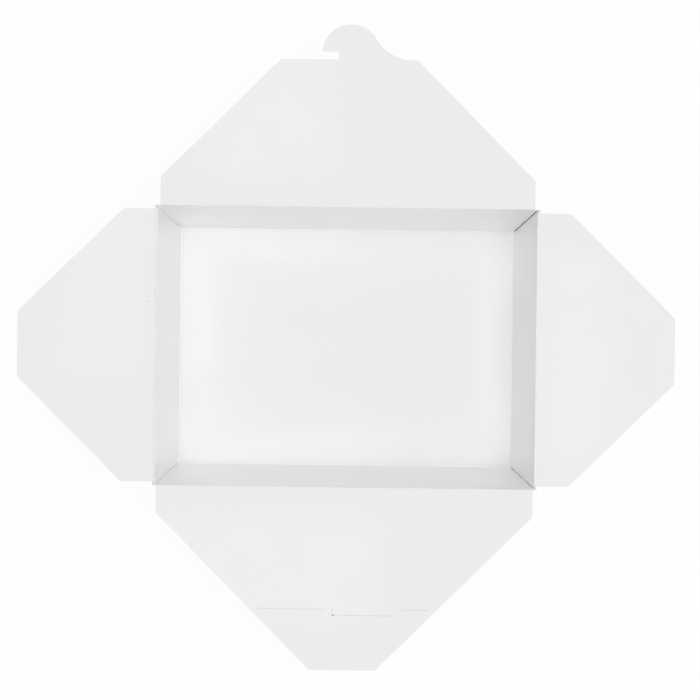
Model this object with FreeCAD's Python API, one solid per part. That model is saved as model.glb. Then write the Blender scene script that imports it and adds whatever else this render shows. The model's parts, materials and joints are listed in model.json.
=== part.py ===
"""Folded takeout food box of coated paperboard, open, with four closing flaps. Millimetres.

The tray is one folded sheet: a base, four leaning walls and, at each corner, a web that is folded
back in two layers on the outside of the end wall, so that no corner has a cut and none leaks.
Each closing flap turns on the fold at its wall's rim. Two plain flaps come in from the ends, the
slit flap lies on them, and the hook flap lies on top, where its hook catches in the slit.

Origin at the middle of the base's underside, +Z up, +X along the box towards its right end,
+Y towards the wall that carries the hook flap.
"""

import FreeCAD
import Part
import math
import os

# The tray, as a closed box of this kind is sold
base_length = 196.85
base_width = 139.7
rim_length = 215.9
rim_width = 158.75
depth = 47.6
board = 0.46

# Room between layers of board
fold_gap = 0.08
seam_gap = 0.10
hinge_gap = 0.15
stack_gap = 0.10

# The two end flaps
end_flap_length = 78.4
end_flap_inset = 2.0
end_flap_side = 19.0
end_flap_tip = 37.1
end_flap_radius = 3.0

# The slit flap
slit_flap_length = 103.4
slit_flap_inset = 1.2
slit_flap_side = 15.4
slit_flap_tip = 37.2
slit_flap_radius = 3.0
score_from_rim = 68.9
score_width = 97.0
score_radius = 0.3
score_depth = 0.12
slit_left = -5.9
slit_right = 29.6
slit_drop = 3.4
slit_corner = 1.2
slit_kerf = 0.3
score_to_slit = 4.2

# The hook flap
hook_flap_length = 83.4
hook_flap_inset = 1.75
hook_flap_side = 15.8
hook_flap_shoulder = 77.6
hook_flap_radius = 1.5
hook_reach = 103.4
hook_head_radius = 16.5
hook_head_offset = 0.9
hook_sweep_radius = 24.2
notch_mouth = 4.8
notch_root = 4.4
notch_end = -5.9
notch_top_radius = 1.2
notch_bottom_radius = 1.7
barb_radius = 0.4

# Folds of the tray
bead_radius = 0.45
web_drop = 0.4

# Worked out from the sizes above
mid = board / 2
layer = board + fold_gap
rise = depth - mid
end_run = (rim_length - base_length) / 2
long_run = (rim_width - base_width) / 2
end_slope = math.hypot(end_run, rise)
long_slope = math.hypot(long_run, rise)
corner_edge = math.hypot(end_slope, long_run)
wall_stop = mid + hinge_gap
slit_axis_height = depth + board + stack_gap
hook_axis_height = slit_axis_height + board + stack_gap

UP = FreeCAD.Vector(0, 0, 1)
ALONG = FreeCAD.Vector(1, 0, 0)
ACROSS = FreeCAD.Vector(0, 1, 0)
ORIGIN = FreeCAD.Vector(0, 0, 0)


def point(x, y, z):
    """A place or a direction, in millimetres."""
    return FreeCAD.Vector(x, y, z)


def end_wall_x(z, out=0.0):
    """Where the middle of the right end wall's board is at height z, or a plane out from it."""
    return base_length / 2 + (z - mid) * end_run / rise + out * end_slope / rise


def long_wall_y(z):
    """Where the middle of the back wall's board is at height z."""
    return base_width / 2 + (z - mid) * long_run / rise


def plate(points, normal):
    """A flat panel of board whose middle has these corners."""
    face = Part.Face(Part.makePolygon(points + [points[0]]))
    face.translate(normal * -mid)
    return face.extrude(normal * board)


def rod(start, end, radius):
    """A round bar between two points, as the board's rounded back along a fold."""
    return Part.makeCylinder(radius, (end - start).Length, start, end - start)


def half_ring(start, end, bulge, stack):
    """A fold of half a turn between two layers, along the line that runs between them."""
    inner = fold_gap / 2
    outer = inner + board
    edges = [
        Part.Arc(start - stack * outer, start + bulge * outer, start + stack * outer).toShape(),
        Part.makeLine(start + stack * outer, start + stack * inner),
        Part.Arc(start + stack * inner, start + bulge * inner, start - stack * inner).toShape(),
        Part.makeLine(start - stack * inner, start - stack * outer),
    ]
    return Part.Face(Part.Wire(edges)).extrude(end - start)


def rounded_wire(corners):
    """A closed flat outline through (x, y, radius) corners, each rounded by its own radius."""
    edges = []
    ends = []
    count = len(corners)
    for i, (x, y, radius) in enumerate(corners):
        here = point(x, y, 0)
        before = point(*corners[i - 1][:2], 0) - here
        after = point(*corners[(i + 1) % count][:2], 0) - here
        if radius == 0:
            ends.append((here, here))
            continue
        half = before.getAngle(after) / 2
        reach = radius / math.tan(half)
        start = here + before.normalize() * reach
        stop = here + after.normalize() * reach
        middle = (before + after).normalize()
        crown = here + middle * (radius / math.sin(half) - radius)
        edges.append(Part.Arc(start, crown, stop).toShape())
        ends.append((start, stop))
    for i in range(count):
        edges.append(Part.makeLine(ends[i - 1][1], ends[i][0]))
    return Part.Wire(Part.__sortEdges__(edges))


def web_corner():
    """The web at the right back corner: two layers folded flat on the end wall's outside."""
    out = point(rise, 0, -end_run) / end_slope
    corner = point(base_length / 2, base_width / 2, mid)
    rim_corner = point(rim_length / 2, rim_width / 2, depth)
    up_edge = (rim_corner - corner) / corner_edge
    side_angle_end = math.acos(-long_run / corner_edge)
    side_angle_long = math.acos(-end_run / corner_edge)
    web_half_angle = (2 * math.pi - math.pi / 2 - side_angle_end - side_angle_long) / 2
    turn = FreeCAD.Rotation(out, math.degrees(web_half_angle))
    diagonal = turn.multVec(up_edge)
    if diagonal.y > up_edge.y:
        diagonal = turn.inverted().multVec(up_edge)
    beside_edge = out.cross(up_edge)
    if beside_edge.y < 0:
        beside_edge = beside_edge * -1
    beyond_diagonal = out.cross(diagonal)
    if beyond_diagonal.y > 0:
        beyond_diagonal = beyond_diagonal * -1
    fold_reach = board + fold_gap / 2
    setback = mid + seam_gap + fold_reach
    top = corner_edge * math.cos(web_half_angle) - web_drop

    def meet(line_a, direction_a, line_b, direction_b):
        """Where two lines of the end wall's plane cross."""
        offset = line_b - line_a
        sine = direction_a.cross(direction_b).dot(out)
        return line_a + direction_a * (offset.cross(direction_b).dot(out) / sine)

    edge_line = corner - beside_edge * setback
    diagonal_line = corner - beyond_diagonal * fold_reach
    top_line = corner + diagonal * top
    inner_layer = [
        meet(edge_line, up_edge, diagonal_line, diagonal),
        meet(edge_line, up_edge, top_line, beyond_diagonal),
        meet(diagonal_line, diagonal, top_line, beyond_diagonal),
    ]
    outer_layer = [
        meet(corner, up_edge, diagonal_line, diagonal),
        meet(corner, up_edge, top_line, beyond_diagonal),
        meet(diagonal_line, diagonal, top_line, beyond_diagonal),
    ]
    edge_top = meet(edge_line, up_edge, top_line, beyond_diagonal)
    corner_top = outer_layer[1] + out * (2 * layer)

    def foot(line_point, radius):
        """The lowest place on the corner's edge where a round of this radius clears the table."""
        height = radius * math.hypot(up_edge.x, up_edge.y)
        return line_point + up_edge * ((height - line_point.z) / up_edge.z)

    solids = [
        plate([p + out * layer for p in inner_layer], out),
        plate([p + out * (2 * layer) for p in outer_layer], out),
        half_ring(
            foot(edge_line + out * (layer / 2), fold_reach),
            edge_top + out * (layer / 2),
            beside_edge,
            out,
        ),
        half_ring(
            diagonal_line + out * (1.5 * layer),
            inner_layer[2] + out * (1.5 * layer),
            beyond_diagonal,
            out,
        ),
        rod(foot(corner + out * (2 * layer), mid), corner_top, mid),
    ]
    return solids


def end_wall():
    """The right end wall, narrower at each side by the room that the web's first fold takes."""
    setback = (mid + seam_gap + board + fold_gap / 2) * corner_edge / end_slope
    top = depth - wall_stop * rise / end_slope
    low = long_wall_y(mid) - setback
    high = long_wall_y(top) - setback
    corners = [
        point(end_wall_x(mid), -low, mid),
        point(end_wall_x(mid), low, mid),
        point(end_wall_x(top), high, top),
        point(end_wall_x(top), -high, top),
    ]
    return plate(corners, point(rise, 0, -end_run) / end_slope)


def long_wall(axis_height):
    """The back wall, up to its flap's fold, as long as the outer layers of the end walls."""
    top = axis_height - wall_stop * rise / long_slope
    low = end_wall_x(mid, 2 * layer)
    high = end_wall_x(top, 2 * layer)
    corners = [
        point(-low, long_wall_y(mid), mid),
        point(low, long_wall_y(mid), mid),
        point(high, long_wall_y(top), top),
        point(-high, long_wall_y(top), top),
    ]
    return plate(corners, point(0, rise, -long_run) / long_slope)


def base_folds():
    """The rounded backs of the base's four folds and the crushed beads inside them."""
    x = base_length / 2
    y = base_width / 2
    long_x = end_wall_x(mid, 2 * layer)
    inner_x = end_wall_x(board) - mid * end_slope / rise
    inner_y = long_wall_y(board) - mid * long_slope / rise
    folds = []
    for side in (-1, 1):
        folds.append(rod(point(-long_x, side * y, mid), point(long_x, side * y, mid), mid))
        folds.append(rod(point(side * x, -y, mid), point(side * x, y, mid), mid))
        folds.append(
            rod(
                point(-inner_x, side * inner_y, board),
                point(inner_x, side * inner_y, board),
                bead_radius,
            )
        )
        folds.append(
            rod(
                point(side * inner_x, -inner_y, board),
                point(side * inner_x, inner_y, board),
                bead_radius,
            )
        )
        for end in (-1, 1):
            folds.append(Part.makeSphere(bead_radius, point(side * inner_x, end * inner_y, board)))
    return folds


def box_tray():
    """Base, walls and corner webs, joined as the one sheet that they are."""
    base = Part.makeBox(base_length, base_width, board, point(-base_length / 2, -base_width / 2, 0))
    right_wall = end_wall()
    front_wall = long_wall(slit_axis_height).mirror(ORIGIN, ACROSS)
    panels = [right_wall, right_wall.mirror(ORIGIN, ALONG), long_wall(hook_axis_height), front_wall]
    for solid in web_corner():
        right_front = solid.mirror(ORIGIN, ACROSS)
        panels += [solid, right_front, solid.mirror(ORIGIN, ALONG), right_front.mirror(ORIGIN, ALONG)]
    return base.fuse(panels + base_folds()).removeSplitter()


def flap(outline, length, inset):
    """A flap lying level: its outline in board, with a rounded edge along the fold that it turns on.

    The fold lies on the X axis and the flap reaches towards +Y.
    """
    face = Part.Face(outline)
    face.translate(UP * -mid)
    fold_edge = rod(point(inset - length / 2, 0, 0), point(length / 2 - inset, 0, 0), mid)
    return face.extrude(UP * board).fuse(fold_edge).removeSplitter()


def chamfered_outline(length, inset, side, tip, reach, radius):
    """A flap's outline: short straight sides, then slanting edges to a narrower tip."""
    half = length / 2 - inset
    return rounded_wire(
        [
            (-half, 0, 0),
            (half, 0, 0),
            (half, side, radius),
            (tip / 2, reach, radius),
            (-tip / 2, reach, radius),
            (-half, side, radius),
        ]
    )


def end_flap():
    """The plain flap of one end wall."""
    outline = chamfered_outline(
        rim_width, end_flap_inset, end_flap_side, end_flap_tip, end_flap_length, end_flap_radius
    )
    return flap(outline, rim_width, end_flap_inset)


def slit_cut():
    """The kerf round the slit's tongue: a shallow U that starts and ends on the score."""
    far = score_from_rim + slit_drop
    half = slit_kerf / 2
    deep = board * 2

    def tongue(grow):
        near = score_from_rim - slit_kerf
        corners = [
            (slit_left - grow, near, 0),
            (slit_right + grow, near, 0),
            (slit_right + grow, far + grow, slit_corner + grow),
            (slit_left - grow, far + grow, slit_corner + grow),
        ]
        face = Part.Face(rounded_wire(corners))
        face.translate(UP * -board)
        return face.extrude(UP * deep)

    return tongue(half).cut(tongue(-half))


def score_groove(start, end):
    """A pressed line in the top face, rounded at the bottom."""
    height = mid + score_radius - score_depth
    return rod(point(start, score_from_rim, height), point(end, score_from_rim, height), score_radius)


def slit_flap():
    """The flap with the slit: its tip bends down at the score, which opens the slit."""
    outline = chamfered_outline(
        rim_length, slit_flap_inset, slit_flap_side, slit_flap_tip, slit_flap_length, slit_flap_radius
    )
    sheet = flap(outline, rim_length, slit_flap_inset)
    cuts = [
        slit_cut(),
        score_groove(-score_width / 2, slit_left - score_to_slit),
        score_groove(slit_right + score_to_slit, score_width / 2),
    ]
    return sheet.cut(cuts)


def quarter_turn(corner, back, ahead, radius):
    """The quarter arc that rounds a square corner, between the lines behind and ahead of it."""
    crown = corner + (back + ahead) * (radius * (1 - math.sqrt(0.5)))
    return Part.Arc(corner + back * radius, crown, corner + ahead * radius).toShape()


def hook_outline():
    """The hook, standing on the hook flap's straight shoulder.

    The hook is a round head. A wide hollow curve sweeps up to it on the right, and on the left a
    notch cuts in under it, which leaves a barb.
    """
    level = hook_flap_length
    head = point(hook_head_offset, hook_reach - hook_head_radius, 0)
    centres_apart = hook_head_radius + hook_sweep_radius
    sweep_height = level + hook_sweep_radius
    sweep_x = head.x + math.sqrt(centres_apart ** 2 - (sweep_height - head.y) ** 2)
    sweep = point(sweep_x, sweep_height, 0)
    towards = (head - sweep).normalize()
    sweep_start = point(sweep_x, level, 0)
    sweep_end = sweep + towards * hook_sweep_radius
    sweep_crown = sweep + (towards - ACROSS).normalize() * hook_sweep_radius
    head_top = head + ACROSS * hook_head_radius
    barb_y = level + notch_mouth
    barb_x = head.x - math.sqrt(hook_head_radius ** 2 - (barb_y + barb_radius - head.y) ** 2)
    barb = point(barb_x, barb_y, 0)
    barb_end = barb + ALONG * barb_radius
    upper = point(notch_end, level + notch_root, 0)
    lower = point(notch_end, level, 0)
    return Part.Wire(
        [
            Part.Arc(sweep_start, sweep_crown, sweep_end).toShape(),
            Part.Arc(sweep_end, head_top, barb + ACROSS * barb_radius).toShape(),
            quarter_turn(barb, ACROSS, ALONG, barb_radius),
            Part.makeLine(barb_end, upper - ALONG * notch_top_radius),
            quarter_turn(upper, -ALONG, -ACROSS, notch_top_radius),
            Part.makeLine(upper - ACROSS * notch_top_radius, lower + ACROSS * notch_bottom_radius),
            quarter_turn(lower, ACROSS, -ALONG, notch_bottom_radius),
            Part.makeLine(lower - ALONG * notch_bottom_radius, sweep_start),
        ]
    )


def hook_flap():
    """The locking flap with its hook."""
    body = chamfered_outline(
        rim_length,
        hook_flap_inset,
        hook_flap_side,
        hook_flap_shoulder,
        hook_flap_length,
        hook_flap_radius,
    )
    face = Part.Face(hook_outline())
    face.translate(UP * -mid)
    sheet = flap(body, rim_length, hook_flap_inset)
    return sheet.fuse(face.extrude(UP * board)).removeSplitter()


def placed(shape, axis_point, turn):
    """A flap moved to its fold and turned about Z to face away from the box."""
    copy = shape.copy()
    copy.rotate(ORIGIN, UP, turn)
    copy.translate(axis_point)
    return copy


def all_nodes():
    """Every node of the part in its place, with the four flaps lying level."""
    end_axis = end_wall_x(depth)
    slit_axis = long_wall_y(slit_axis_height)
    hook_axis = long_wall_y(hook_axis_height)
    return {
        "box_tray": box_tray(),
        "left_flap": placed(end_flap(), point(-end_axis, 0, depth), 90),
        "right_flap": placed(end_flap(), point(end_axis, 0, depth), -90),
        "slit_flap": placed(
            slit_flap().mirror(ORIGIN, ALONG), point(0, -slit_axis, slit_axis_height), 180
        ),
        "hook_flap": placed(hook_flap(), point(0, hook_axis, hook_axis_height), 0),
    }


os.makedirs("parts", exist_ok=True)
for name, shape in all_nodes().items():
    shape.exportStep(f"parts/{name}.step")
    box = shape.BoundBox
    print(name, "solids", len(shape.Solids), "valid", shape.isValid(), "volume", round(shape.Volume, 1),
          "x", round(box.XMin, 2), round(box.XMax, 2), "y", round(box.YMin, 2), round(box.YMax, 2),
          "z", round(box.ZMin, 2), round(box.ZMax, 2))
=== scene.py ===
# %% [markdown]
# # A takeout food box of folded board
#
# The box is one sheet of white board, 0.46 mm thick, coated on the inside. It stands open and
# empty: a tray with four leaning walls, and four flaps that lie out level from its rim. This file
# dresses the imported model: it gives the board the slight bulges and bends that folded board takes
# on, the pressed folds, the cut edges, and the soft sheen of its coating. Lengths are in metres.

# %% Load the model and remember its size
import json
import math

import bmesh
import bpy
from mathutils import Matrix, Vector


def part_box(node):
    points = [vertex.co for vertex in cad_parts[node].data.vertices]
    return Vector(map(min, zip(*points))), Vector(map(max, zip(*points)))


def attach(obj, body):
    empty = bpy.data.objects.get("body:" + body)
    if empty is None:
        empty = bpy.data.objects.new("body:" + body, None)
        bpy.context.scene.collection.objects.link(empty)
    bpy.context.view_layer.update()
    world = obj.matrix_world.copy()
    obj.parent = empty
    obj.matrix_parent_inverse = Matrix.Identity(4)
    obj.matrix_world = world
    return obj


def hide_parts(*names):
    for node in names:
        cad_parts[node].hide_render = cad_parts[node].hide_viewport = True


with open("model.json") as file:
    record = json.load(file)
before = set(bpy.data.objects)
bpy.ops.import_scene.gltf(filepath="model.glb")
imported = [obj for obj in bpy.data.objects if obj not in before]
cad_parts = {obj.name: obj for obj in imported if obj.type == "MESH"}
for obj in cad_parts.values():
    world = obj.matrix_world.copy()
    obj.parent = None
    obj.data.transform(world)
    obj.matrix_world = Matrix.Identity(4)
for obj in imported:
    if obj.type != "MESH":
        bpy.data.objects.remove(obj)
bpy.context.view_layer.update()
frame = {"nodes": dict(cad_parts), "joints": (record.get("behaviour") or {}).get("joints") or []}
MM = 0.001
FLAPS = ("left_flap", "right_flap", "slit_flap", "hook_flap")

# %% [markdown]
# ## Sizes that the looks need
#
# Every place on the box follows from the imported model, so the folds are found from the boxes of its
# nodes and from the joints, not typed in again. A joint's position is the middle of its fold. Only
# the walls' lean is given here, because no box of a node shows it.

# %% Measure the board, the base and the four rim folds
FOLD = {joint["child"]: Vector(joint["pos_m"]) for joint in frame["joints"]}
tray_low, tray_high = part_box("box_tray")
left_low, left_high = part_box("left_flap")
BOARD = left_high.z - left_low.z
RIM_X = FOLD["right_flap"].x
RIM_Y = FOLD["hook_flap"].y
RIM_Z = FOLD["right_flap"].z
LEAN = math.radians(11.36)
SLOPE = math.tan(LEAN)
BASE_X = RIM_X - RIM_Z * SLOPE
BASE_Y = RIM_Y - FOLD["hook_flap"].z * SLOPE
print("tray in mm:", [round(side / MM, 1) for side in tray_high - tray_low])
print("base in mm:", [round(2 * side / MM, 1) for side in (BASE_X, BASE_Y)])
print("board in mm:", round(BOARD / MM, 2))

# %% [markdown]
# ## Finish: what coated board looks like
#
# The inside of the board carries a thin food-safe film over a clay coating. It has a soft sheen,
# and the film follows the paper's fibres as a fine orange peel about a millimetre across. That peel
# is far too small to model, so it is bump. The outside is bare white board: matte, a touch warmer.
# Both share one node group for relief and one for the faint clouding of paper, so each is built
# once.

# %% Two helpers for node trees
def link(tree, from_node, from_socket, to_node, to_socket):
    """Joins two sockets, each given by its label, or by its place where labels repeat."""
    tree.links.new(from_node.outputs[from_socket], to_node.inputs[to_socket])


def new_group(kind, name, inputs, outputs):
    """An empty node group with these named sockets, and its input and output nodes."""
    group = bpy.data.node_groups.new(name, kind)
    for label, socket_kind, value in inputs:
        socket = group.interface.new_socket(name=label, in_out="INPUT", socket_type=socket_kind)
        if value is not None:
            socket.default_value = value
    for label, socket_kind in outputs:
        group.interface.new_socket(name=label, in_out="OUTPUT", socket_type=socket_kind)
    return group, group.nodes.new("NodeGroupInput"), group.nodes.new("NodeGroupOutput")


# %% The relief group: fine peel over slow ripples
def relief_group():
    """Normal of a board whose surface has a fine peel and slow ripples."""
    inputs = (
        ("Peel Scale", "NodeSocketFloat", 900.0),
        ("Peel Depth", "NodeSocketFloat", 0.00002),
        ("Ripple Scale", "NodeSocketFloat", 60.0),
        ("Ripple Depth", "NodeSocketFloat", 0.0001),
    )
    outputs = (("Normal", "NodeSocketVector"),)
    group, given, out = new_group("ShaderNodeTree", "board_relief", inputs, outputs)
    place = group.nodes.new("ShaderNodeTexCoord")
    ripple = group.nodes.new("ShaderNodeTexNoise")
    peel = group.nodes.new("ShaderNodeTexNoise")
    slow = group.nodes.new("ShaderNodeBump")
    fine = group.nodes.new("ShaderNodeBump")
    ripple.inputs["Detail"].default_value = 2.0
    peel.inputs["Detail"].default_value = 4.0
    peel.inputs["Roughness"].default_value = 0.6
    link(group, place, "Object", ripple, "Vector")
    link(group, place, "Object", peel, "Vector")
    link(group, given, "Ripple Scale", ripple, "Scale")
    link(group, given, "Peel Scale", peel, "Scale")
    link(group, ripple, "Fac", slow, "Height")
    link(group, given, "Ripple Depth", slow, "Distance")
    link(group, peel, "Fac", fine, "Height")
    link(group, given, "Peel Depth", fine, "Distance")
    link(group, slow, "Normal", fine, "Normal")
    link(group, fine, "Normal", out, "Normal")
    return group


RELIEF = relief_group()


# %% The clouding group: paper is never one flat white
MIX_A, MIX_B, MIX_RESULT = 6, 7, 2  # the places of a colour mix's sockets, whose labels repeat


def cloud_group():
    """Two near colours mixed by a cloudy noise, and that noise again as a mask."""
    inputs = (
        ("Light", "NodeSocketColor", (0.86, 0.86, 0.855, 1.0)),
        ("Dark", "NodeSocketColor", (0.83, 0.83, 0.825, 1.0)),
        ("Cloud Scale", "NodeSocketFloat", 35.0),
    )
    outputs = (("Color", "NodeSocketColor"), ("Mask", "NodeSocketFloat"))
    group, given, out = new_group("ShaderNodeTree", "board_clouds", inputs, outputs)
    place = group.nodes.new("ShaderNodeTexCoord")
    clouds = group.nodes.new("ShaderNodeTexNoise")
    clouds.inputs["Detail"].default_value = 5.0
    clouds.inputs["Roughness"].default_value = 0.65
    mix = group.nodes.new("ShaderNodeMix")
    mix.data_type = "RGBA"
    link(group, place, "Object", clouds, "Vector")
    link(group, given, "Cloud Scale", clouds, "Scale")
    link(group, clouds, "Fac", mix, "Factor")
    link(group, given, "Light", mix, MIX_A)
    link(group, given, "Dark", mix, MIX_B)
    link(group, mix, MIX_RESULT, out, "Color")
    link(group, clouds, "Fac", out, "Mask")
    return group


CLOUDS = cloud_group()


# %% One function makes each kind of board from the two groups
FILM_ROUGHNESS = 0.06
MASK_LOW = 0.3
MASK_HIGH = 0.7


def board_material(name, light, dark, rough_low, rough_high, peel, ripple, film=0.0):
    """A board finish: two colours, a range of roughness, and how much of a film lies on it.

    Peel and ripple are each a scale and a depth in metres.
    """
    material = bpy.data.materials.new(name)
    material.use_nodes = True
    tree = material.node_tree
    shader = tree.nodes["Principled BSDF"]
    relief = tree.nodes.new("ShaderNodeGroup")
    relief.node_tree = RELIEF
    relief.inputs["Peel Scale"].default_value = peel[0]
    relief.inputs["Peel Depth"].default_value = peel[1]
    relief.inputs["Ripple Scale"].default_value = ripple[0]
    relief.inputs["Ripple Depth"].default_value = ripple[1]
    clouds = tree.nodes.new("ShaderNodeGroup")
    clouds.node_tree = CLOUDS
    clouds.inputs["Light"].default_value = (*light, 1.0)
    clouds.inputs["Dark"].default_value = (*dark, 1.0)
    sheen = tree.nodes.new("ShaderNodeMapRange")
    sheen.inputs["From Min"].default_value = MASK_LOW
    sheen.inputs["From Max"].default_value = MASK_HIGH
    sheen.inputs["To Min"].default_value = rough_low
    sheen.inputs["To Max"].default_value = rough_high
    link(tree, clouds, "Mask", sheen, "Value")
    link(tree, sheen, "Result", shader, "Roughness")
    link(tree, clouds, "Color", shader, "Base Color")
    link(tree, relief, "Normal", shader, "Normal")
    shader.inputs["Coat Weight"].default_value = film
    shader.inputs["Coat Roughness"].default_value = FILM_ROUGHNESS
    link(tree, relief, "Normal", shader, "Coat Normal")
    return material


coated = board_material(
    "coated_board", (0.869, 0.869, 0.869), (0.854, 0.854, 0.854), 0.40, 0.48,
    (1200.0, 0.000002), (380.0, 0.000008), film=0.80,
)
bare = board_material(
    "bare_board_outside", (0.85, 0.846, 0.832), (0.82, 0.815, 0.80), 0.55, 0.7,
    (1600.0, 0.00002), (60.0, 0.00005),
)
cut_edge = board_material(
    "cut_edge_fibres", (0.86, 0.85, 0.83), (0.80, 0.79, 0.77), 0.75, 0.9,
    (5000.0, 0.00006), (400.0, 0.00004),
)
# Darker pressed board is painted shade, laid on the score's faces and along the base's creases.
crease_shade = board_material(
    "painted_crease_shade", (0.77, 0.77, 0.765), (0.72, 0.72, 0.715), 0.6, 0.7,
    (1600.0, 0.00001), (200.0, 0.00001),
)
# Dark fibres are the real pulp specks, and also painted shade in the slit's cut.
specks_and_slit_shade = board_material(
    "pulp_specks_and_painted_slit_shade", (0.40, 0.39, 0.38), (0.28, 0.27, 0.26), 0.8, 0.95,
    (4000.0, 0.00003), (500.0, 0.00002),
)
# Near-black board is painted shade, for the open seams between walls and the slit's corner.
gap_shade = board_material(
    "painted_gap_shade", (0.05, 0.05, 0.05), (0.03, 0.03, 0.03), 0.85, 0.95,
    (900.0, 0.0), (300.0, 0.0),
)
print("finishes:", [finish.name for finish in (coated, bare, cut_edge, crease_shade, specks_and_slit_shade, gap_shade)])

# %% [markdown]
# ## The sheet: from flat panels to board that has been folded
#
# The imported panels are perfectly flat. Real panels never are: each fold pulls on the board, so the
# base bulges upward a little like a pillow and the walls bow by a few tenths of a millimetre. To
# bend a panel, it first needs points to bend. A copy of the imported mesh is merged, its flat regions
# are joined into single faces, and then it is sliced by evenly spaced planes. That keeps every
# outline exactly where it was and gives an even grid inside it.

# %% Copy a node and slice it into a grid
GRID = 3.2 * MM
FLAT_ANGLE = math.radians(0.3)
MERGE_REACH = 1e-6
ON_PLANE = 1e-7


def slice_mesh(mesh, axis, step):
    """Cuts the mesh by planes across one axis, evenly spaced through the origin."""
    values = [v.co[axis] for v in mesh.verts]
    first = math.ceil(min(values) / step)
    last = math.floor(max(values) / step)
    normal = Vector((0, 0, 0))
    normal[axis] = 1
    for i in range(first, last + 1):
        everything = mesh.verts[:] + mesh.edges[:] + mesh.faces[:]
        bmesh.ops.bisect_plane(
            mesh, geom=everything, plane_co=normal * (i * step), plane_no=normal, dist=ON_PLANE
        )


def gridded_copy(node, name, axes):
    """A new object with the node's form and an even grid of points across these axes."""
    mesh = bmesh.new()
    mesh.from_mesh(frame["nodes"][node].data)
    bmesh.ops.remove_doubles(mesh, verts=mesh.verts, dist=MERGE_REACH)
    bmesh.ops.dissolve_limit(mesh, angle_limit=FLAT_ANGLE, verts=mesh.verts, edges=mesh.edges)
    for axis in axes:
        slice_mesh(mesh, axis, GRID)
    bmesh.ops.triangulate(mesh, faces=[f for f in mesh.faces if len(f.verts) > 4])
    data = bpy.data.meshes.new(name)
    mesh.to_mesh(data)
    mesh.free()
    piece = bpy.data.objects.new(name, data)
    bpy.context.scene.collection.objects.link(piece)
    print(name, "has", len(data.polygons), "faces")
    return piece


# %% Give each face the finish of its side of the sheet
COATED, BARE, CUT, SHADED_CREASE = range(4)
UPWARD = 0.05
ON_A_PANEL = 0.35
PANEL_NORMALS = (
    Vector((0, 0, 1)),
    Vector((math.cos(LEAN), 0, -math.sin(LEAN))),
    Vector((-math.cos(LEAN), 0, -math.sin(LEAN))),
    Vector((0, math.cos(LEAN), -math.sin(LEAN))),
    Vector((0, -math.cos(LEAN), -math.sin(LEAN))),
)


def finish_sides(piece):
    """Coated where a face looks up or into the box, bare where it looks out, fibres where cut."""
    for material in (coated, bare, cut_edge, crease_shade):
        piece.data.materials.append(material)
    for face in piece.data.polygons:
        alignment = max(abs(face.normal.dot(n)) for n in PANEL_NORMALS)
        if alignment < ON_A_PANEL:
            face.material_index = CUT
        elif face.normal.z < UPWARD:
            face.material_index = BARE
        else:
            face.material_index = COATED


def smooth(piece, degrees):
    """Smooth shading that keeps an edge crisp where its faces turn by more than this."""
    piece.data.shade_smooth()
    piece.data.set_sharp_from_angle(angle=math.radians(degrees))


# %% [markdown]
# ## How the tray bulges
#
# The base is held at its four folds and free in the middle, so its rise is zero at the edges, steep
# just inside them and nearly level in the middle. A product of two falling cubes has that shape.
# The walls are bowed too, most at half their height, because the folds at the base and at the rim
# hold them straight.

# %% Bend the tray
PILLOW_HEIGHT = 1.3 * MM
PILLOW_POWER = 3.0
WALL_BOW = 0.45 * MM
BOW_WAVES = ((21.0, 0.4, 0.30), (47.0, 1.9, 0.20))
EVEN_BOW = 0.5
LONG_WALL_TURN = 8
OFF_THE_FOLD = 2 * BOARD
TRAY_CRISP = 35.0


def pillow(x, y):
    """Height of the bulged base at a place on it."""
    u = min(abs(x) / BASE_X, 1.0)
    v = min(abs(y) / BASE_Y, 1.0)
    return PILLOW_HEIGHT * (1 - u ** PILLOW_POWER) * (1 - v ** PILLOW_POWER)


def bow(along, z, turn):
    """How far a wall bows into the box at a place along it and a height, zero at both its folds.

    The turn shifts the waves, so that no two walls bow alike.
    """
    share = EVEN_BOW
    for waves, start, size in BOW_WAVES:
        share += size * math.sin(waves * along + start + turn)
    return WALL_BOW * share * math.sin(math.pi * min(z / RIM_Z, 1.0))


def bend_tray(piece):
    """Moves the points of the base up, and those of the walls into the box."""
    for vertex in piece.data.vertices:
        x, y, z = vertex.co
        lean = z * SLOPE
        from_end = (abs(x) - BASE_X - lean) * math.cos(LEAN)
        from_long = (abs(y) - BASE_Y - lean) * math.cos(LEAN)
        if z < OFF_THE_FOLD and abs(x) < BASE_X and abs(y) < BASE_Y:
            vertex.co.z += pillow(x, y)
        elif abs(from_end) < BOARD and from_long < -OFF_THE_FOLD:
            vertex.co.x -= math.copysign(bow(y, z, x), x)
        elif abs(from_long) < BOARD and from_end < -OFF_THE_FOLD:
            vertex.co.y -= math.copysign(bow(x, z, LONG_WALL_TURN * y), y)


tray = gridded_copy("box_tray", "folded_tray", (0, 1, 2))
bend_tray(tray)
finish_sides(tray)
smooth(tray, TRAY_CRISP)
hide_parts("box_tray")
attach(tray, "tray")

# %% [markdown]
# ## The flaps
#
# Each flap keeps its outline and its fold, and takes a shallow warp that starts at nothing along
# the fold, so that the flap still meets its wall. The warps are set so that no flap reaches into
# another when the box is closed. Each is a height, and where its wave starts.

# %% Make the four flaps
WARP = {
    "left_flap": (0.25 * MM, 0.9),
    "right_flap": (0.20 * MM, 1.2),
    "slit_flap": (0.15 * MM, 1.5),
    "hook_flap": (0.20 * MM, -0.9),
}
WARP_TURN = 2.2
FLAP_CRISP = 2.0


def bend_flap(piece, node):
    """Lifts the flap in a slow wave that grows from its fold to its tip."""
    fold = FOLD[node]
    height, start = WARP[node]
    outward = Vector((fold.x, fold.y, 0)).normalized()
    along = Vector((-outward.y, outward.x, 0))
    reach = max((v.co - fold).dot(outward) for v in piece.data.vertices)
    for vertex in piece.data.vertices:
        out = (vertex.co - fold).dot(outward) / reach
        side = (vertex.co - fold).dot(along) / reach
        if out > 0:
            vertex.co.z += height * math.sin(WARP_TURN * side + start) * out ** 2
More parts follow.
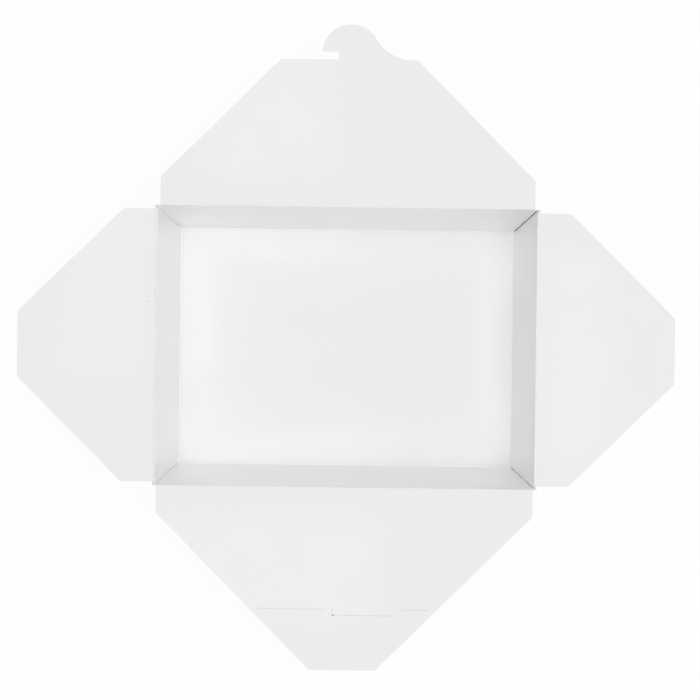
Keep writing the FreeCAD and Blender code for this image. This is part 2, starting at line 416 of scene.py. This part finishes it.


# %% [markdown]
# The slit flap has a knife cut, the slit, and a score that is pressed part of the way into the
# board. Faces that stand upright and reach down to the flap's underside are the cut's lips, and
# they are pushed together. The score's points are raised until only a faint line is left, and its
# faces take a darker colour: painted shade in the crease.

# %% Close the slit and soften the score
SLIT_NEAR = 66 * MM
SLIT_FAR = 77 * MM
SLIT_SIDE = 34 * MM
SLIT_CLOSE = 0.135 * MM
KERF = 0.3 * MM
CUT_FOOT = 0.1 * BOARD
SCORE_LIMIT = 0.5 * BOARD
SCORE_SHARE = 0.22
UPRIGHT = 0.1
FACING_UP = 0.2
CLEAR_PUSH = 0.1
HAIR = 0.001 * MM


def tend_slit(piece):
    """Closes the knife cut, leaves the score as a faint line with painted crease shade, and returns
    the cut's four limits.
    """
    fold = FOLD["slit_flap"]
    low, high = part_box("slit_flap")
    pushes = {}
    for face in piece.data.polygons:
        reach = fold.y - face.center.y
        inside = SLIT_NEAR < reach < SLIT_FAR and abs(face.center.x) < SLIT_SIDE
        deepest = min(piece.data.vertices[i].co.z for i in face.vertices)
        through = deepest < low.z + CUT_FOOT
        if inside and through and abs(face.normal.z) < UPRIGHT:
            for index in face.vertices:
                pushes.setdefault(index, Vector((0, 0, 0)))
                pushes[index] += face.normal
    lips = [piece.data.vertices[i].co for i in pushes]
    slit_box = (
        min(v.x for v in lips) + KERF / 2,
        max(v.x for v in lips) - KERF / 2,
        max(v.y for v in lips),
        min(v.y for v in lips) + KERF / 2,
    )
    for index, push in pushes.items():
        if push.length > CLEAR_PUSH:
            piece.data.vertices[index].co += push.normalized() * SLIT_CLOSE
    heights = [v.co.z for v in piece.data.vertices]
    for face in piece.data.polygons:
        lowest = min(heights[i] for i in face.vertices)
        if face.normal.z > FACING_UP and high.z - SCORE_LIMIT < lowest < high.z - HAIR:
            # The score's faces take the darker colour: painted shade in the crease.
            face.material_index = SHADED_CREASE
    for vertex in piece.data.vertices:
        below = high.z - vertex.co.z
        if 0 < below < SCORE_LIMIT:
            vertex.co.z = high.z - below * SCORE_SHARE
    print("slit lips:", len(pushes), "points")
    return slit_box


for flap_name in FLAPS:
    flap = gridded_copy(flap_name, flap_name + "_board", (0, 1))
    finish_sides(flap)
    if flap_name == "slit_flap":
        SLIT_BOX = tend_slit(flap)
    bend_flap(flap, flap_name)
    smooth(flap, FLAP_CRISP)
    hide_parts(flap_name)
    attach(flap, flap_name)

# %% [markdown]
# ## Pressed folds
#
# Before board is folded it is creased: a blunt rule presses it into a groove, and the crushed
# layers stand up as a thin bead on the inside of the fold. Beads follow lines, which is work for
# Geometry Nodes: one tree turns any line into a bead of a given radius, with a slight waver. The
# result is made a plain mesh.

# %% The bead tree
GEOMETRY_OUT = (("Geometry", "NodeSocketGeometry"),)
WAVER_SCALE = 90.0
BEAD_SIDES = 10


def bead_tree():
    """Geometry Nodes: lines in, beads out."""
    inputs = (
        ("Geometry", "NodeSocketGeometry", None),
        ("Radius", "NodeSocketFloat", 0.0004),
        ("Spacing", "NodeSocketFloat", 0.002),
        ("Waver", "NodeSocketFloat", 0.00002),
        ("Finish", "NodeSocketMaterial", coated),
    )
    tree, given, out = new_group("GeometryNodeTree", "pressed_bead", inputs, GEOMETRY_OUT)
    make = tree.nodes.new
    to_curve = make("GeometryNodeMeshToCurve")
    resample = make("GeometryNodeResampleCurve")
    resample.mode = "LENGTH"
    noise = make("ShaderNodeTexNoise")
    noise.inputs["Scale"].default_value = WAVER_SCALE
    centre = make("ShaderNodeVectorMath")
    centre.operation = "SUBTRACT"
    centre.inputs[1].default_value = (0.5, 0.5, 0.5)
    scale = make("ShaderNodeVectorMath")
    scale.operation = "SCALE"
    place = make("GeometryNodeInputPosition")
    move = make("GeometryNodeSetPosition")
    circle = make("GeometryNodeCurvePrimitiveCircle")
    circle.inputs["Resolution"].default_value = BEAD_SIDES
    sweep = make("GeometryNodeCurveToMesh")
    sweep.inputs["Fill Caps"].default_value = True
    shade = make("GeometryNodeSetShadeSmooth")
    realize = make("GeometryNodeRealizeInstances")
    paint = make("GeometryNodeSetMaterial")
    link(tree, given, "Geometry", to_curve, "Mesh")
    link(tree, to_curve, "Curve", resample, "Curve")
    link(tree, given, "Spacing", resample, "Length")
    link(tree, place, "Position", noise, "Vector")
    link(tree, noise, "Color", centre, 0)
    link(tree, centre, "Vector", scale, 0)
    link(tree, given, "Waver", scale, "Scale")
    link(tree, resample, "Curve", move, "Geometry")
    link(tree, scale, "Vector", move, "Offset")
    link(tree, given, "Radius", circle, "Radius")
    link(tree, move, "Geometry", sweep, "Curve")
    link(tree, circle, "Curve", sweep, "Profile Curve")
    link(tree, sweep, "Mesh", shade, "Geometry")
    link(tree, shade, "Geometry", realize, "Geometry")
    link(tree, realize, "Geometry", paint, "Geometry")
    link(tree, given, "Finish", paint, "Material")
    link(tree, paint, "Geometry", out, "Geometry")
    return tree


BEAD = bead_tree()


# %% Turn lines into beads
def set_input(modifier, label, value):
    """Sets a Geometry Nodes input by the identifier of the socket with this name."""
    for item in modifier.node_group.interface.items_tree:
        if item.item_type == "SOCKET" and item.in_out == "INPUT" and item.name == label:
            modifier[item.identifier] = value


def grown_piece(name, tree, points, edges, radius, body, finish):
    """What a tree grows from these points and edges, as one plain mesh that rides on a body."""
    guide_mesh = bpy.data.meshes.new(name + "_guide")
    guide_mesh.from_pydata(points, edges, [])
    guide = bpy.data.objects.new(name + "_guide", guide_mesh)
    bpy.context.scene.collection.objects.link(guide)
    modifier = guide.modifiers.new("grow", "NODES")
    modifier.node_group = tree
    set_input(modifier, "Radius", radius)
    set_input(modifier, "Finish", finish)
    graph = bpy.context.evaluated_depsgraph_get()
    data = bpy.data.meshes.new_from_object(guide.evaluated_get(graph))
    bpy.data.objects.remove(guide)
    bpy.data.meshes.remove(guide_mesh)
    piece = bpy.data.objects.new(name, data)
    bpy.context.scene.collection.objects.link(piece)
    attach(piece, body)
    print(name, "has", len(data.polygons), "faces")


def bead_piece(name, lines, radius, body, finish):
    """One mesh of beads along these lines."""
    points = [point for line in lines for point in line]
    edges = [(2 * i, 2 * i + 1) for i in range(len(lines))]
    grown_piece(name, BEAD, points, edges, radius, body, finish)


END_BEAD = 0.55 * MM
LONG_BEAD = 0.34 * MM
end_lines = []
long_lines = []
for flap_name in FLAPS:
    low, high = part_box(flap_name)
    fold = FOLD[flap_name]
    if abs(fold.x) > abs(fold.y):
        end_lines.append(((fold.x, low.y, fold.z), (fold.x, high.y, fold.z)))
    else:
        long_lines.append(((low.x, fold.y, fold.z), (high.x, fold.y, fold.z)))
bead_piece("end_rim_beads", end_lines, END_BEAD, "tray", coated)
bead_piece("long_rim_beads", long_lines, LONG_BEAD, "tray", coated)

# %% [markdown]
# Just inside the base's own folds, all but the right one, a thin bead of darker colour is painted
# shade along the crease. The knife cut of the slit is drawn the same way, with a dark line that is
# painted shade in the cut, too fine to see as a ridge. On the right its lips lie shut and show no
# line.

# %% Draw the painted crease shade on the base and the painted shade along the slit's lips
CREASE_SHADE_RADIUS = 0.16 * MM
CREASE_SHADE_INSET = 1.5 * MM
CREASE_SHADE_SINK = 0.06 * MM
line_x = BASE_X - CREASE_SHADE_INSET
line_y = BASE_Y - CREASE_SHADE_INSET
line_z = BOARD - CREASE_SHADE_SINK
back_left = (-line_x, line_y, line_z)
back_right = (line_x, line_y, line_z)
front_left = (-line_x, -line_y, line_z)
front_right = (line_x, -line_y, line_z)
base_lines = ((back_left, back_right), (front_left, front_right), (front_left, back_left))
# A bead of darker colour just inside three base folds: painted shade along the crease.
bead_piece("base_fold_shade_lines", base_lines, CREASE_SHADE_RADIUS, "tray", crease_shade)

LIP = 0.165 * MM
LIP_SINK = 0.08 * MM
slit_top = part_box("slit_flap")[1].z
cut_left, cut_right, cut_near, cut_far = SLIT_BOX
lip_z = slit_top - LIP_SINK
lip_corner = (cut_left, cut_far, lip_z)
lip_lines = (((cut_left, cut_near, lip_z), lip_corner), (lip_corner, (cut_right, cut_far, lip_z)))
# The dark line along the slit's lips is painted shade in the cut.
bead_piece("slit_shade_line", lip_lines, LIP, "slit_flap", specks_and_slit_shade)

# %% [markdown]
# Where two walls meet, the sheet goes on into the web behind them, and the fold there stands a
# little open. The shade in that gap is painted: a near-black bead, widest at the right back corner
# and a mere hair at the right front one. At the two left corners it is shut.

# %% Draw painted shade in the open folds between the walls
SEAM_INSET = 0.30 * MM
SEAM_FOOT = 2.2 * MM
SEAM_TOP = 2.0 * MM
OPEN_SEAMS = (
    ("right_back_seam_shade", 1, 1, 0.21 * MM),
    ("right_front_seam_shade", 1, -1, 0.08 * MM),
)


def seam_point(side_x, side_y, z):
    """A place on the line where two walls meet, at a height."""
    out = z * SLOPE - SEAM_INSET
    return (side_x * (BASE_X + out), side_y * (BASE_Y + out), z)


for seam_name, side_x, side_y, seam_radius in OPEN_SEAMS:
    foot = seam_point(side_x, side_y, SEAM_FOOT)
    head = seam_point(side_x, side_y, RIM_Z - SEAM_TOP)
    bead_piece(seam_name, [(foot, head)], seam_radius, "tray", gap_shade)

# %% [markdown]
# ## Specks
#
# Board of this kind carries a few specks from the pulp. A second tree sets tiny flat flecks on
# given points, each turned and scaled at random from a fixed seed. Their places were read from the
# photograph. The same tree draws a dark fleck of painted shade where the slit turns its left corner.

# %% The speck tree
FLECK_SEED = 4
FLECK_FORM = (1.0, 0.6, 0.12)
FULL_TURN = 6.28
FLECK_LEAST = 0.6
FLECK_MOST = 1.2
VECTOR_LOW, VECTOR_HIGH, FLOAT_LOW, FLOAT_HIGH = range(4)  # the places of a random value's limits
VECTOR_RESULT, FLOAT_RESULT = range(2)


def speck_tree():
    """Geometry Nodes: points in, flat flecks of random size and turn out."""
    inputs = (
        ("Geometry", "NodeSocketGeometry", None),
        ("Radius", "NodeSocketFloat", 0.0003),
        ("Seed", "NodeSocketInt", FLECK_SEED),
        ("Finish", "NodeSocketMaterial", specks_and_slit_shade),
    )
    tree, given, out = new_group("GeometryNodeTree", "pulp_specks", inputs, GEOMETRY_OUT)
    make = tree.nodes.new
    to_points = make("GeometryNodeMeshToPoints")
    fleck = make("GeometryNodeMeshIcoSphere")
    fleck.inputs["Subdivisions"].default_value = 2
    flatten = make("GeometryNodeTransform")
    flatten.inputs["Scale"].default_value = FLECK_FORM
    scatter = make("GeometryNodeInstanceOnPoints")
    turn = make("FunctionNodeRandomValue")
    turn.data_type = "FLOAT_VECTOR"
    turn.inputs[VECTOR_LOW].default_value = (0, 0, 0)
    turn.inputs[VECTOR_HIGH].default_value = (0, 0, FULL_TURN)
    size = make("FunctionNodeRandomValue")
    size.data_type = "FLOAT"
    size.inputs[FLOAT_LOW].default_value = FLECK_LEAST
    size.inputs[FLOAT_HIGH].default_value = FLECK_MOST
    realize = make("GeometryNodeRealizeInstances")
    paint = make("GeometryNodeSetMaterial")
    link(tree, given, "Geometry", to_points, "Mesh")
    link(tree, given, "Radius", fleck, "Radius")
    link(tree, fleck, "Mesh", flatten, "Geometry")
    link(tree, to_points, "Points", scatter, "Points")
    link(tree, flatten, "Geometry", scatter, "Instance")
    link(tree, given, "Seed", turn, "Seed")
    link(tree, given, "Seed", size, "Seed")
    link(tree, turn, VECTOR_RESULT, scatter, "Rotation")
    link(tree, size, FLOAT_RESULT, scatter, "Scale")
    link(tree, scatter, "Instances", realize, "Geometry")
    link(tree, realize, "Geometry", paint, "Geometry")
    link(tree, given, "Finish", paint, "Material")
    link(tree, paint, "Geometry", out, "Geometry")
    return tree


SPECKS = speck_tree()


# %% Put a few specks on the flaps and an end wall, and a fleck of painted shade at the slit's corner
SLIT_CORNER_SHADE = 0.8 * MM
right_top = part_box("right_flap")[1].z
for speck_name, place, radius, body, finish in (
    ("left_flap_speck", (-0.1130, 0.0248, left_high.z), 0.36 * MM, "left_flap", specks_and_slit_shade),
    ("right_flap_speck", (0.1716, 0.0085, right_top), 0.30 * MM, "right_flap", specks_and_slit_shade),
    ("slit_corner_shade", (cut_left + SLIT_CORNER_SHADE / 2, cut_far, slit_top), SLIT_CORNER_SHADE, "slit_flap", gap_shade),
    ("end_wall_speck", (0.1040, -0.0300, 0.0300), 0.30 * MM, "tray", specks_and_slit_shade),
):
    grown_piece(speck_name, SPECKS, [place], [], radius, body, finish)

# %% [markdown]
# ## Floor, light and camera
#
# The photograph looks straight down on the box, on white. The floor is white and catches the box's
# shadow. Four soft boxes hang above and around the box, the strongest on the right, and the sky is
# brighter on the right too, because the photograph's left wall is the brightest and its right wall
# the darkest. Four panels only show as reflections: they give the film its soft bright patches.

# %% Floor and world
FLOOR_SIZE = 6.0
FLOOR_DROP = 0.2 * MM
FLOOR_WHITE = 0.97
FLOOR_GLOW = 0.93
SKY_COLOUR = (1.0, 0.995, 0.955, 1.0)
SKY_LEFT = 0.42
SKY_RIGHT = 0.73


def white_floor():
    """A floor that the camera sees as white, and that still takes a soft shadow."""
    bpy.ops.mesh.primitive_plane_add(size=FLOOR_SIZE, location=(0, 0, -FLOOR_DROP))
    floor = bpy.context.object
    floor.name = "floor"
    material = bpy.data.materials.new("white_floor")
    material.use_nodes = True
    tree = material.node_tree
    shader = tree.nodes["Principled BSDF"]
    shader.inputs["Base Color"].default_value = (FLOOR_WHITE, FLOOR_WHITE, FLOOR_WHITE, 1.0)
    shader.inputs["Roughness"].default_value = 0.9
    glow = tree.nodes.new("ShaderNodeEmission")
    glow.inputs["Strength"].default_value = 1.0
    path = tree.nodes.new("ShaderNodeLightPath")
    either = tree.nodes.new("ShaderNodeMath")
    either.operation = "MAXIMUM"
    share = tree.nodes.new("ShaderNodeMath")
    share.operation = "MULTIPLY"
    share.inputs[1].default_value = FLOOR_GLOW
    mix = tree.nodes.new("ShaderNodeMixShader")
    link(tree, path, "Is Camera Ray", either, 0)
    link(tree, path, "Is Glossy Ray", either, 1)
    link(tree, either, 0, share, 0)
    link(tree, share, 0, mix, 0)
    link(tree, shader, "BSDF", mix, 1)
    link(tree, glow, "Emission", mix, 2)
    link(tree, mix, 0, tree.nodes["Material Output"], "Surface")
    floor.data.materials.append(material)


def soft_world():
    """White to the camera. To the rest a pale, slightly warm light, brighter to the right."""
    world = bpy.data.worlds.new("studio")
    bpy.context.scene.world = world
    world.use_nodes = True
    tree = world.node_tree
    sky = tree.nodes["Background"]
    sky.inputs["Color"].default_value = SKY_COLOUR
    place = tree.nodes.new("ShaderNodeTexCoord")
    split = tree.nodes.new("ShaderNodeSeparateXYZ")
    across = tree.nodes.new("ShaderNodeMapRange")
    across.inputs["From Min"].default_value = -1.0
    across.inputs["To Min"].default_value = SKY_LEFT
    across.inputs["To Max"].default_value = SKY_RIGHT
    white = tree.nodes.new("ShaderNodeBackground")
    white.inputs["Color"].default_value = (1, 1, 1, 1)
    white.inputs["Strength"].default_value = 1.0
    path = tree.nodes.new("ShaderNodeLightPath")
    mix = tree.nodes.new("ShaderNodeMixShader")
    link(tree, place, "Generated", split, "Vector")
    link(tree, split, "X", across, "Value")
    link(tree, across, "Result", sky, "Strength")
    link(tree, path, "Is Camera Ray", mix, 0)
    link(tree, sky, "Background", mix, 1)
    link(tree, white, "Background", mix, 2)
    link(tree, mix, 0, tree.nodes["World Output"], "Surface")


white_floor()
soft_world()


# %% Soft boxes and panels
def soft_light(name, place, target, size, power, colour):
    """A square soft box at a place, aimed at a target."""
    lamp = bpy.data.lights.new(name, "AREA")
    lamp.color = colour
    lamp.size = size
    lamp.energy = power
    light = bpy.data.objects.new(name, lamp)
    light.location = place
    light.rotation_euler = (Vector(target) - Vector(place)).to_track_quat("-Z", "Y").to_euler()
    bpy.context.scene.collection.objects.link(light)


def strip_light(name, low, high, height, glow):
    """A panel that only shows as a reflection in the film.

    Its power follows from its area, so that every panel of one glow looks equally bright.
    """
    lamp = bpy.data.lights.new(name, "AREA")
    lamp.shape = "RECTANGLE"
    lamp.size = high[0] - low[0]
    lamp.size_y = high[1] - low[1]
    lamp.energy = glow * math.pi * lamp.size * lamp.size_y
    light = bpy.data.objects.new(name, lamp)
    light.location = ((low[0] + high[0]) / 2, (low[1] + high[1]) / 2, height)
    light.visible_diffuse = False
    bpy.context.scene.collection.objects.link(light)


RIG_HEIGHT = 3.2
RIG_REACH = 1.25
RIG_WIDTH = 0.9
DAYLIGHT = (0.91, 0.915, 1.0)
NEUTRAL = (1.0, 1.0, 1.0)
for side, along, across, power, colour in (
    ("right", 1, 0, 15.7, DAYLIGHT),
    ("left", -1, 0, 11.0, DAYLIGHT),
    ("front", 0, -1, 12.4, NEUTRAL),
    ("back", 0, 1, 11.0, NEUTRAL),
):
    place = (along * RIG_REACH, across * RIG_REACH, RIG_HEIGHT)
    soft_light(side + "_softbox", place, (0, 0, 0), RIG_WIDTH, power, colour)

STRIP_HEIGHT = 2.4
STRIP_GLOW = 0.8
for side, low_x, high_x, low_y, high_y in (
    ("front", -0.40, 0.06, -0.47, -0.29),
    ("right", 0.35, 0.46, -0.20, 0.17),
    ("left", -0.50, -0.36, -0.05, 0.25),
    ("back", -0.28, -0.02, 0.30, 0.55),
):
    strip_light(side + "_strip", (low_x, low_y), (high_x, high_y), STRIP_HEIGHT, STRIP_GLOW)

# %% Camera
CAMERA_HEIGHT = 1.15
LENS = 100.0
ROLL = math.radians(0.75)
PHOTO_SIZE = 700
SHIFT_X = 4.0 / PHOTO_SIZE
SHIFT_Y = -2.5 / PHOTO_SIZE
camera_data = bpy.data.cameras.new("camera")
camera_data.lens = LENS
camera_data.shift_x = SHIFT_X
camera_data.shift_y = SHIFT_Y
camera = bpy.data.objects.new("camera", camera_data)
camera.location = (0, 0, CAMERA_HEIGHT)
camera.rotation_euler = (0, 0, ROLL)
bpy.context.scene.collection.objects.link(camera)
bpy.context.scene.camera = camera
bpy.context.scene.view_settings.view_transform = "Standard"

# %% [markdown]
# ## How light travels in a white box
#
# Light bounces many times between white walls, and the film on them throws some of it down on the
# base. Few bounces, or a filter on glossy light, would leave the walls too dark beside the base, so
# the scene allows many bounces and switches that filter off.

# %% Let light bounce
MOST_BOUNCES = 16
DULL_BOUNCES = 12
cycles = bpy.context.scene.cycles
cycles.max_bounces = MOST_BOUNCES
cycles.diffuse_bounces = DULL_BOUNCES
cycles.blur_glossy = 0.0
